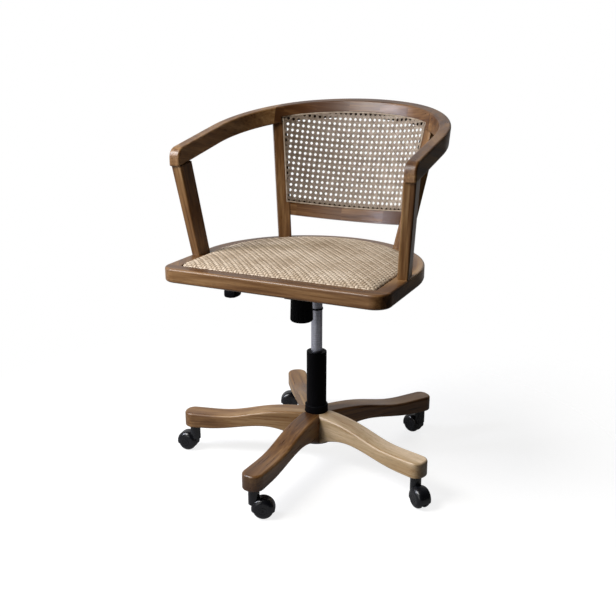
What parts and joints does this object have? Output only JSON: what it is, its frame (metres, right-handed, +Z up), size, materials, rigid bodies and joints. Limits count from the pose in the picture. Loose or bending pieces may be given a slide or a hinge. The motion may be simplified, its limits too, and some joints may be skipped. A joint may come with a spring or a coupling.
{
  "type": "caned swivel armchair",
  "caption": "Low-backed walnut swivel armchair with a woven rattan seat pad, caned back panel, horseshoe arm rail, gas lift and a wooden star base on twin-wheel casters",
  "frame": {"origin": "on the floor, under the axis of the swivel column", "axes": "+Z up; the sitter faces -Y; +X is to the right for someone looking along +Y at the chair"},
  "size_m": [0.7013, 0.6483, 0.887],
  "materials": {
    "walnut_wood": "satin lacquer",
    "plywood": "raw board",
    "woven_rattan": "matte weave",
    "cane_webbing": "clear lacquer",
    "rattan_spline": "clear lacquer",
    "black_steel": "black powder coat",
    "zinc_steel": "zinc plated",
    "satin_steel": "satin ground",
    "black_plastic": "fine matte",
    "caster_plastic": "satin gloss",
    "wheel_plastic": "satin"
  },
  "bodies": {
    "base": {"leg_1": "walnut_wood", "leg_2": "walnut_wood", "leg_3": "walnut_wood", "leg_4": "walnut_wood", "leg_5": "walnut_wood", "hub_sleeve": "black_steel", "hub_plate": "black_steel", "hub_screws": "zinc_steel", "caster_sockets": "zinc_steel", "column_tube": "black_steel", "column_collar": "black_plastic", "guide_bush": "black_plastic", "thrust_bearing": "zinc_steel"},
    "spindle": {"piston_rod": "satin_steel"},
    "carriage": {"gas_cylinder": "satin_steel", "cylinder_ring": "black_plastic", "mechanism_housing": "black_steel", "pivot_pin": "zinc_steel", "tension_spring": "zinc_steel"},
    "seat": {"seat_plate": "black_steel", "seat_fasteners": "zinc_steel", "seat_frame": "walnut_wood", "seat_board": "plywood", "seat_pad": "woven_rattan", "arm_post_left": "walnut_wood", "arm_post_right": "walnut_wood", "back_stile_left": "walnut_wood", "back_stile_right": "walnut_wood", "crest_rail": "walnut_wood", "arm_left": "walnut_wood", "arm_right": "walnut_wood", "lower_back_rail": "walnut_wood", "back_cane": "cane_webbing", "cane_spline": "rattan_spline"},
    "release": {"release_pin": "zinc_steel"},
    "lever": {"lever_rod": "black_steel", "lever_paddle": "black_plastic"},
    "knob": {"tension_knob": "black_plastic", "tension_bolt": "zinc_steel"},
    "nut": {"spring_nut": "zinc_steel"},
    "caster_1": {"caster_1_hood": "caster_plastic", "caster_1_stem": "zinc_steel"},
    "caster_1_roll_left": {"caster_1_wheel_left": "wheel_plastic"},
    "caster_1_roll_right": {"caster_1_wheel_right": "wheel_plastic"},
    "caster_2": {"caster_2_hood": "caster_plastic", "caster_2_stem": "zinc_steel"},
    "caster_2_roll_left": {"caster_2_wheel_left": "wheel_plastic"},
    "caster_2_roll_right": {"caster_2_wheel_right": "wheel_plastic"},
    "caster_3": {"caster_3_hood": "caster_plastic", "caster_3_stem": "zinc_steel"},
    "caster_3_roll_left": {"caster_3_wheel_left": "wheel_plastic"},
    "caster_3_roll_right": {"caster_3_wheel_right": "wheel_plastic"},
    "caster_4": {"caster_4_hood": "caster_plastic", "caster_4_stem": "zinc_steel"},
    "caster_4_roll_left": {"caster_4_wheel_left": "wheel_plastic"},
    "caster_4_roll_right": {"caster_4_wheel_right": "wheel_plastic"},
    "caster_5": {"caster_5_hood": "caster_plastic", "caster_5_stem": "zinc_steel"},
    "caster_5_roll_left": {"caster_5_wheel_left": "wheel_plastic"},
    "caster_5_roll_right": {"caster_5_wheel_right": "wheel_plastic"}
  },
  "joints": [
    {"name": "seat_swivel", "type": "hinge", "parent": "base", "child": "spindle", "pos_m": [0, 0, 0.082], "axis": [0, 0, 1], "continuous": true},
    {"name": "seat_lift", "type": "slide", "parent": "spindle", "child": "carriage", "axis": [0, 0, 1], "range_m": [-0.1, 0]},
    {"name": "seat_tilt", "type": "hinge", "parent": "carriage", "child": "seat", "pos_m": [0, -0.116, 0.469], "axis": [-1, 0, 0], "range_deg": [0, 8], "stiffness_Nm_per_rad": 80, "springref_deg": -28.65, "deforming": ["tension_spring"]},
    {"name": "height_lever", "type": "hinge", "parent": "carriage", "child": "lever", "pos_m": [-0.038, 0, 0.478], "axis": [0, 1, 0], "range_deg": [0, 5], "stiffness_Nm_per_rad": 4, "springref_deg": -3.44},
    {"name": "release_stroke", "type": "slide", "parent": "carriage", "child": "release", "axis": [0, 0, -1], "range_m": [0, 0.0034]},
    {"name": "tension_turn", "type": "hinge", "parent": "carriage", "child": "knob", "pos_m": [0, -0.085, 0.42], "axis": [0, 0, 1], "range_deg": [-540, 1080]},
    {"name": "nut_climb", "type": "slide", "parent": "carriage", "child": "nut", "axis": [0, 0, 1], "range_m": [-0.0031, 0.0061], "deforming": ["tension_spring"]},
    {"name": "caster_1_swivel", "type": "hinge", "parent": "base", "child": "caster_1", "pos_m": [-0.30618, -0.09302, 0.074], "axis": [0, 0, 1], "continuous": true},
    {"name": "caster_1_spin_left", "type": "hinge", "parent": "caster_1", "child": "caster_1_roll_left", "pos_m": [-0.32704, -0.09548, 0.024], "axis": [0.1167, -0.9932, 0], "continuous": true},
    {"name": "caster_1_spin_right", "type": "hinge", "parent": "caster_1", "child": "caster_1_roll_right", "pos_m": [-0.32704, -0.09548, 0.024], "axis": [0.1167, -0.9932, 0], "continuous": true},
    {"name": "caster_2_swivel", "type": "hinge", "parent": "base", "child": "caster_2", "pos_m": [-0.00614, -0.31994, 0.074], "axis": [0, 0, 1], "continuous": true},
    {"name": "caster_2_spin_left", "type": "hinge", "parent": "caster_2", "child": "caster_2_roll_left", "pos_m": [0.01326, -0.3119, 0.024], "axis": [-0.3827, 0.9239, 0], "continuous": true},
    {"name": "caster_2_spin_right", "type": "hinge", "parent": "caster_2", "child": "caster_2_roll_right", "pos_m": [0.01326, -0.3119, 0.024], "axis": [-0.3827, 0.9239, 0], "continuous": true},
    {"name": "caster_3_swivel", "type": "hinge", "parent": "base", "child": "caster_3", "pos_m": [0.30238, -0.10471, 0.074], "axis": [0, 0, 1], "continuous": true},
    {"name": "caster_3_spin_left", "type": "hinge", "parent": "caster_3", "child": "caster_3_roll_left", "pos_m": [0.31838, -0.11832, 0.024], "axis": [0.6481, 0.7615, 0], "continuous": true},
    {"name": "caster_3_spin_right", "type": "hinge", "parent": "caster_3", "child": "caster_3_roll_right", "pos_m": [0.31838, -0.11832, 0.024], "axis": [0.6481, 0.7615, 0], "continuous": true},
    {"name": "caster_4_swivel", "type": "hinge", "parent": "base", "child": "caster_4", "pos_m": [0.19303, 0.25523, 0.074], "axis": [0, 0, 1], "continuous": true},
    {"name": "caster_4_spin_left", "type": "hinge", "parent": "caster_4", "child": "caster_4_roll_left", "pos_m": [0.17338, 0.26265, 0.024], "axis": [-0.3535, -0.9354, 0], "continuous": true},
    {"name": "caster_4_spin_right", "type": "hinge", "parent": "caster_4", "child": "caster_4_roll_right", "pos_m": [0.17338, 0.26265, 0.024], "axis": [-0.3535, -0.9354, 0], "continuous": true},
    {"name": "caster_5_swivel", "type": "hinge", "parent": "base", "child": "caster_5", "pos_m": [-0.18309, 0.26245, 0.074], "axis": [0, 0, 1], "continuous": true},
    {"name": "caster_5_spin_left", "type": "hinge", "parent": "caster_5", "child": "caster_5_roll_left", "pos_m": [-0.20212, 0.25357, 0.024], "axis": [0.4226, -0.9063, 0], "continuous": true},
    {"name": "caster_5_spin_right", "type": "hinge", "parent": "caster_5", "child": "caster_5_roll_right", "pos_m": [-0.20212, 0.25357, 0.024], "axis": [0.4226, -0.9063, 0], "continuous": true}
  ],
  "couplings": [
    {"joint": "release_stroke", "follows": "height_lever", "m_per_rad": 0.038},
    {"joint": "nut_climb", "follows": "tension_turn", "m_per_rad": 0.00031831}
  ]
}
